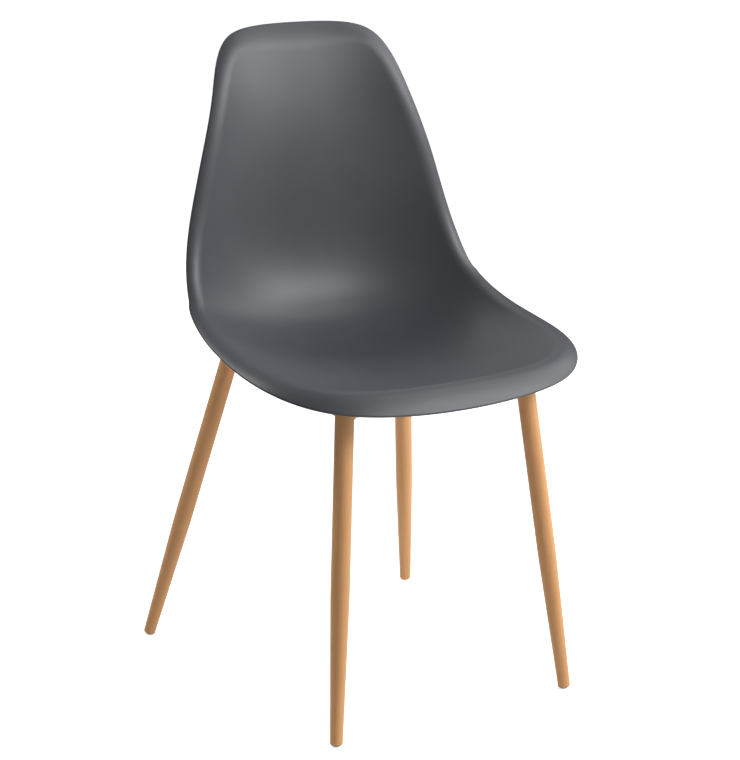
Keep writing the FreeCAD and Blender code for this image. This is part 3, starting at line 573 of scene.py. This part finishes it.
def wood_look(name, grain_along=None):
    """Printed beech under satin lacquer: its figure, streaks and flecks run along the tube."""
    material, shader, nodes, link = new_material(name)
    place = nodes.new("ShaderNodeTexCoord")
    own = nodes.new("ShaderNodeObjectInfo")
    shift = nodes.new("ShaderNodeVectorMath")
    shift.operation = "MULTIPLY_ADD"
    shift.inputs[1].default_value = (TUBE_SHIFT, TUBE_SHIFT, TUBE_SHIFT)
    link(own.outputs["Location"], shift.inputs[0])
    source = place.outputs["Object"]
    if grain_along is not None:
        turn = nodes.new("ShaderNodeMapping")
        upright = grain_along.to_track_quat("Z", "Y").inverted()
        turn.inputs["Rotation"].default_value = upright.to_euler()
        link(source, turn.inputs["Vector"])
        source = turn.outputs["Vector"]
    link(source, shift.inputs[2])

    def streaks(across, along, detail, low, high):
        stretch = nodes.new("ShaderNodeMapping")
        stretch.inputs["Scale"].default_value = (1 / across, 1 / across, 1 / along)
        noise = nodes.new("ShaderNodeTexNoise")
        noise.inputs["Scale"].default_value = 1
        noise.inputs["Detail"].default_value = detail
        band = nodes.new("ShaderNodeMapRange")
        band.inputs["From Min"].default_value = low
        band.inputs["From Max"].default_value = high
        link(shift.outputs["Vector"], stretch.inputs["Vector"])
        link(stretch.outputs["Vector"], noise.inputs["Vector"])
        link(noise.outputs["Fac"], band.inputs["Value"])
        return band.outputs["Result"]

    figure, fibre, fleck = [streaks(*STREAKS[kind]) for kind in ("figure", "fibre", "fleck")]
    tone = nodes.new("ShaderNodeMix")
    tone.data_type = "RGBA"
    tone.inputs["A"].default_value = (*WOOD_DARK, 1)
    tone.inputs["B"].default_value = (*WOOD_PALE, 1)
    share = nodes.new("ShaderNodeMix")
    share.inputs["Factor"].default_value = FIBRE_SHARE
    link(figure, share.inputs["A"])
    link(fibre, share.inputs["B"])
    link(share.outputs["Result"], tone.inputs["Factor"])
    fleck_share = nodes.new("ShaderNodeMath")
    fleck_share.operation = "MULTIPLY"
    fleck_share.inputs[1].default_value = FLECK_STRENGTH
    link(fleck, fleck_share.inputs[0])
    marked = nodes.new("ShaderNodeMix")
    marked.data_type = "RGBA"
    marked.inputs["B"].default_value = (*WOOD_FLECK, 1)
    link(fleck_share.outputs["Value"], marked.inputs["Factor"])
    link(tone.outputs["Result"], marked.inputs["A"])
    link(marked.outputs["Result"], shader.inputs["Base Color"])
    polish = nodes.new("ShaderNodeMapRange")
    polish.inputs["To Min"].default_value = LACQUER_ROUGHNESS[0]
    polish.inputs["To Max"].default_value = LACQUER_ROUGHNESS[1]
    link(fibre, polish.inputs["Value"])
    link(polish.outputs["Result"], shader.inputs["Roughness"])
    bump = nodes.new("ShaderNodeBump")
    bump.inputs["Strength"].default_value = FIBRE_STRENGTH
    bump.inputs["Distance"].default_value = FIBRE_HEIGHT
    link(fibre, bump.inputs["Height"])
    link(bump.outputs["Normal"], shader.inputs["Normal"])
    return material


def leg_profile(top):
    """Radius and height round a leg's wall: up its outside and down its bore."""
    bottom = -math.sqrt(BALL_RADIUS**2 - (FOOT_RADIUS - GLIDE_INSET)**2)
    outside = [(FOOT_RADIUS - EDGE_BREAK, bottom), (FOOT_RADIUS, bottom + EDGE_BREAK)]
    for height in np.linspace(TAPER_START, TAPER_LENGTH - TAPER_BLEND, PROFILE_STEPS):
        share = (height - bottom) / (TAPER_LENGTH - bottom)
        outside.append((FOOT_RADIUS + (LEG_RADIUS - FOOT_RADIUS) * share, height))
    lowest = outside[-1][0]
    for f in np.linspace(0.2, 1, BLEND_STEPS):
        bow = 1 - (1 - f)**2
        height = TAPER_LENGTH - TAPER_BLEND + 2 * TAPER_BLEND * f
        outside.append((lowest + (LEG_RADIUS - lowest) * bow, height))
    for height in np.linspace(TAPER_LENGTH + 3 * TAPER_BLEND, top - EDGE_BREAK, PROFILE_STEPS):
        outside.append((LEG_RADIUS, height))
    outside.append((LEG_RADIUS - EDGE_BREAK, top))
    bore = LEG_RADIUS - LEG_WALL
    return outside + [(bore, top), (bore, TAPER_LENGTH), (FOOT_RADIUS - LEG_WALL, bottom)]


leg_finish = wood_look("printed_beech")
for end in FEET:
    for side in SIDES:
        start, up = leg_line(end, side)
        top = (RAIL_HEIGHT - BALL_HEIGHT) / up.z + LEG_OVERRUN
        leg = turned(f"tapered_leg_{end}_{side}", leg_profile(top), start, up)
        leg.data.materials.append(leg_finish)
        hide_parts(f"leg_{end}_{side}")
        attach(leg, "root")

# Foot glides and leg plugs
# Polyethylene mouldings pushed into the tubes: a pale domed glide under each leg, worn flat where
# it stands, and a black plug that closes the leg's top.
glide_plastic = grainy_plastic(
    "pale_polyethylene", (0.48, 0.42, 0.34), (0.54, 0.48, 0.40),
    roughness=0.42, grain_size=0.0007, grain_height=0.00002,
)
plug_plastic = grainy_plastic(
    "black_polyethylene", (0.020, 0.020, 0.021), (0.026, 0.026, 0.027),
    roughness=0.45, grain_size=0.0008, grain_height=0.00002,
)
for end in FEET:
    for side in SIDES:
        dress(f"foot_glide_{end}_{side}", glide_plastic)
        dress(f"leg_plug_{end}_{side}", plug_plastic)

# Rails
# Four steel tubes with coped ends, welded between the legs into a rectangle under the seat and
# printed with the same beech pattern as the legs.
RAIL_ENDS = {
    "rail_front": (("front", "left"), ("front", "right")),
    "rail_rear": (("rear", "left"), ("rear", "right")),
    "rail_left": (("front", "left"), ("rear", "left")),
    "rail_right": (("front", "right"), ("rear", "right")),
}


def rail_run(one, other):
    """Direction from one leg's corner to another's."""
    return (leg_corner(*other) - leg_corner(*one)).normalized()


for name, (one, other) in RAIL_ENDS.items():
    dress(name, wood_look("printed_beech_" + name, rail_run(one, other)))

# Fixing plates
# Stamped steel plates, 3 mm thick, welded across the side rails under the bosses and coated with
# the frame. Their cut edges are slightly rounded.
PLATE_ROUND = 0.0004
plate_finish = wood_look("printed_beech_plates", Vector((1, 0, 0)))
for end in FEET:
    for side in SIDES:
        plate = dress(f"fixing_plate_{end}_{side}", plate_finish)
        rounding = plate.modifiers.new("rounded_edges", "BEVEL")
        rounding.width = PLATE_ROUND
        rounding.segments = 2
        rounding.limit_method = "ANGLE"

# Weld beads
# Fillet welds laid by hand round the rails' coped ends and along the plates, and coated with the
# frame. The built solids leave them out.
RAIL_RADIUS = 0.008
BEAD_RADIUS = 0.0019
BEAD_RIPPLE = 0.00016
RIPPLE_PITCH = 0.0021
BEAD_SIDES = 10
PLATE_BEAD_OFFSET = 0.0040
PLATE_BEAD_LENGTH = 0.026
PLATE_BEAD_DROP = 0.0006
PLATE_BEAD_STEPS = 60
LEAST_END = 0.05


def cope_path(leg_end, side, run, steps=120):
    """The closed line where a rail meets the leg it is coped to."""
    corner = leg_corner(leg_end, side)
    up = leg_line(leg_end, side)[1]
    level = run.cross(Vector((0, 0, 1))).normalized()
    over = level.cross(run)
    path = []
    for step in range(steps):
        turn = 2 * math.pi * step / steps
        out = (level * math.cos(turn) + over * math.sin(turn)) * RAIL_RADIUS
        p, q = out - up * out.dot(up), run - up * run.dot(up)
        a, b, c = q.dot(q), p.dot(q), p.dot(p) - LEG_RADIUS**2
        path.append(corner + out + run * ((math.sqrt(b * b - a * c) - b) / a))
    return path


def bead(path, closed):
    """Points and faces of a rippled bead along a path, with tapered ends unless it is closed."""
    count = len(path)
    points, gone = [], 0.0
    for i in range(count):
        before, after = path[max(i - 1, 0)], path[min(i + 1, count - 1)]
        if closed:
            before, after = path[i - 1], path[(i + 1) % count]
        ahead = (after - before).normalized()
        level = ahead.orthogonal().normalized()
        if abs(ahead.z) < 0.9:
            level = ahead.cross(Vector((0, 0, 1))).normalized()
        over = ahead.cross(level)
        radius = BEAD_RADIUS + BEAD_RIPPLE * math.sin(2 * math.pi * gone / RIPPLE_PITCH)
        if not closed:
            radius *= max(LEAST_END, 1 - abs(2 * i / (count - 1) - 1)**6)
        for j in range(BEAD_SIDES):
            turn = 2 * math.pi * j / BEAD_SIDES
            points.append(path[i] + (level * math.cos(turn) + over * math.sin(turn)) * radius)
        gone += (after - path[i]).length
    faces = ring_faces(count, BEAD_SIDES)
    last = (count - 1) * BEAD_SIDES
    if closed:
        for j in range(BEAD_SIDES):
            k = (j + 1) % BEAD_SIDES
            faces.append((last + j, last + k, k, j))
    else:
        faces.append(tuple(range(BEAD_SIDES))[::-1])
        faces.append(tuple(last + j for j in range(BEAD_SIDES)))
    return points, faces


bead_paths = []
for one, other in RAIL_ENDS.values():
    run = rail_run(one, other)
    bead_paths.append((cope_path(*one, run), True))
    bead_paths.append((cope_path(*other, -run), True))
for x, y in BOSS_SPOTS:
    one, other = RAIL_ENDS["rail_left" if x < 0 else "rail_right"]
    start, run = leg_corner(*one), rail_run(one, other)
    crown = start + run * ((y - start.y) / run.y) + Vector((0, 0, RAIL_RADIUS - PLATE_BEAD_DROP))
    half = PLATE_BEAD_LENGTH / 2
    for offset in (-PLATE_BEAD_OFFSET, PLATE_BEAD_OFFSET):
        path = []
        for length in np.linspace(-half, half, PLATE_BEAD_STEPS):
            path.append(crown + Vector((offset, 0, 0)) + run * length)
        bead_paths.append((path, False))
points, faces = [], []
for path, closed in bead_paths:
    bead_points, bead_faces = bead(path, closed)
    faces += [tuple(i + len(points) for i in face) for face in bead_faces]
    points += bead_points
beads = mesh_piece("weld_beads", points, faces)
beads.data.materials.append(wood_look("printed_beech_welds"))
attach(beads, "root")

# Rubber pads
# Black rubber rings between the plates and the bosses, which keep the frame from creaking.
pad_rubber = grainy_plastic(
    "black_rubber", (0.014, 0.014, 0.014), (0.022, 0.022, 0.022),
    roughness=0.75, grain_size=0.0009, grain_height=0.00005,
)
dress("rubber_pads", pad_rubber)

# Screws and washers
# M6 button screws with a hexagon socket and flat washers, cold formed in steel and zinc plated.
zinc, shader, nodes, link = new_material("zinc_plate")
shader.inputs["Metallic"].default_value = 1
place = nodes.new("ShaderNodeTexCoord")
bloom = nodes.new("ShaderNodeTexNoise")
bloom.inputs["Scale"].default_value = 420
bloom.inputs["Detail"].default_value = 5
tone = nodes.new("ShaderNodeValToRGB")
tone.color_ramp.elements[0].color = (0.50, 0.50, 0.49, 1)
tone.color_ramp.elements[1].color = (0.72, 0.72, 0.70, 1)
polish = nodes.new("ShaderNodeMapRange")
polish.inputs["To Min"].default_value = 0.22
polish.inputs["To Max"].default_value = 0.42
link(place.outputs["Object"], bloom.inputs["Vector"])
link(bloom.outputs["Fac"], tone.inputs["Fac"])
link(bloom.outputs["Fac"], polish.inputs["Value"])
link(tone.outputs["Color"], shader.inputs["Base Color"])
link(polish.outputs["Result"], shader.inputs["Roughness"])
dress("shell_screws", zinc)
dress("screw_washers", zinc)

# Floor
# A white paper sweep that fills the view. It brightens away from the chair and keeps its shadow.
FLOOR_HALF = 40
floor_corners = [(-FLOOR_HALF, -FLOOR_HALF, 0), (FLOOR_HALF, -FLOOR_HALF, 0)]
floor_corners += [(FLOOR_HALF, FLOOR_HALF, 0), (-FLOOR_HALF, FLOOR_HALF, 0)]
floor = mesh_piece("floor", floor_corners, [(0, 1, 2, 3)])
floor_white, shader, nodes, link = new_material("white_floor")
shader.inputs["Base Color"].default_value = (0.82, 0.82, 0.82, 1)
shader.inputs["Roughness"].default_value = 0.9
shader.inputs["Specular IOR Level"].default_value = 0.1
place = nodes.new("ShaderNodeTexCoord")
away = nodes.new("ShaderNodeVectorMath")
away.operation = "LENGTH"
sweep = nodes.new("ShaderNodeMapRange")
sweep.interpolation_type = "SMOOTHSTEP"
sweep.inputs["From Min"].default_value = 0.6
sweep.inputs["From Max"].default_value = 2.6
sweep.inputs["To Min"].default_value = 0.70
sweep.inputs["To Max"].default_value = 1.0
link(place.outputs["Object"], away.inputs[0])
link(away.outputs["Value"], sweep.inputs["Value"])
seen = nodes.new("ShaderNodeLightPath")
lift = nodes.new("ShaderNodeMath")
lift.operation = "MULTIPLY"
link(sweep.outputs["Result"], lift.inputs[1])
link(seen.outputs["Is Camera Ray"], lift.inputs[0])
shader.inputs["Emission Color"].default_value = (1, 1, 1, 1)
link(lift.outputs["Value"], shader.inputs["Emission Strength"])
floor.data.materials.append(floor_white)

# Light
# Softboxes to the chair's right front, from low to high, and two behind it, in a dim white room.
world = bpy.data.worlds.new("white_room")
bpy.context.scene.world = world
world.use_nodes = True
sky = world.node_tree.nodes["Background"]
seen = world.node_tree.nodes.new("ShaderNodeLightPath")
room = world.node_tree.nodes.new("ShaderNodeMix")
room.inputs["A"].default_value = 0.08
room.inputs["B"].default_value = 1.0
world.node_tree.links.new(seen.outputs["Is Camera Ray"], room.inputs["Factor"])
world.node_tree.links.new(room.outputs["Result"], sky.inputs["Strength"])
sky.inputs["Color"].default_value = (1, 1, 1, 1)
AIM = Vector((0, 0, 0.45))


def softbox(name, azimuth, elevation, distance, side, power):
    """A square lamp aimed at the chair. Azimuth 0 is in front and 90 to the right."""
    lamp = bpy.data.lights.new(name, "AREA")
    lamp.shape = "SQUARE"
    lamp.size = side
    lamp.energy = power
    holder = bpy.data.objects.new(name, lamp)
    a, e = math.radians(azimuth), math.radians(elevation)
    away = Vector((math.sin(a) * math.cos(e), -math.cos(a) * math.cos(e), math.sin(e)))
    holder.location = AIM + away * distance
    holder.rotation_euler = away.to_track_quat("Z", "Y").to_euler()
    bpy.context.scene.collection.objects.link(holder)


# Azimuth and elevation in degrees, distance and side in metres, power in watts
SOFTBOXES = {
    "key_softbox": (38, 30, 2.4, 0.8, 16),
    "low_front_softbox": (50, 20, 2.4, 0.9, 9),
    "high_front_softbox": (58, 36, 2.4, 0.9, 10.5),
    "middle_softbox": (25, 39, 2.4, 0.9, 6),
    "overhead_softbox": (75, 55, 2.4, 0.9, 7),
    "side_softbox": (90, 30, 2.4, 0.9, 9),
    "rear_left_softbox": (-143, 43, 2.4, 1.2, 30),
    "rear_right_softbox": (140, 45, 2.4, 1.2, 4.4),
    "floor_front_softbox": (20, 8, 2.4, 1.2, 2),
    "floor_side_softbox": (60, 2, 2.4, 1.2, 2.7),
}
for name, (azimuth, elevation, distance, side, power) in SOFTBOXES.items():
    softbox(name, azimuth, elevation, distance, side, power)

# Camera
# A long lens a little above the seat, to the chair's left front.
CAMERA_AZIMUTH = -30.55
CAMERA_ELEVATION = 14.727
CAMERA_ROLL = -0.441
CAMERA_DISTANCE = 2.7203
CAMERA_TARGET = Vector((0, -0.01902, 0.40104))
FOCAL_LENGTH_PIXELS = 2063.05
FRAME_HEIGHT_PIXELS = 760
camera = bpy.data.objects.new("camera", bpy.data.cameras.new("camera"))
bpy.context.scene.collection.objects.link(camera)
camera.data.sensor_width = 36
camera.data.lens = FOCAL_LENGTH_PIXELS * camera.data.sensor_width / FRAME_HEIGHT_PIXELS
a, e = math.radians(CAMERA_AZIMUTH), math.radians(CAMERA_ELEVATION)
back = Vector((math.sin(a) * math.cos(e), -math.cos(a) * math.cos(e), math.sin(e)))
right = Vector((math.cos(a), math.sin(a), 0))
up = back.cross(right)
tilt = math.radians(CAMERA_ROLL)
level = right * math.cos(tilt) + up * math.sin(tilt)
upright = up * math.cos(tilt) - right * math.sin(tilt)
turn = Matrix((level, upright, back)).transposed().to_4x4()
camera.matrix_world = Matrix.Translation(CAMERA_TARGET + back * CAMERA_DISTANCE) @ turn
bpy.context.scene.camera = camera
bpy.context.scene.view_settings.view_transform = "Standard"
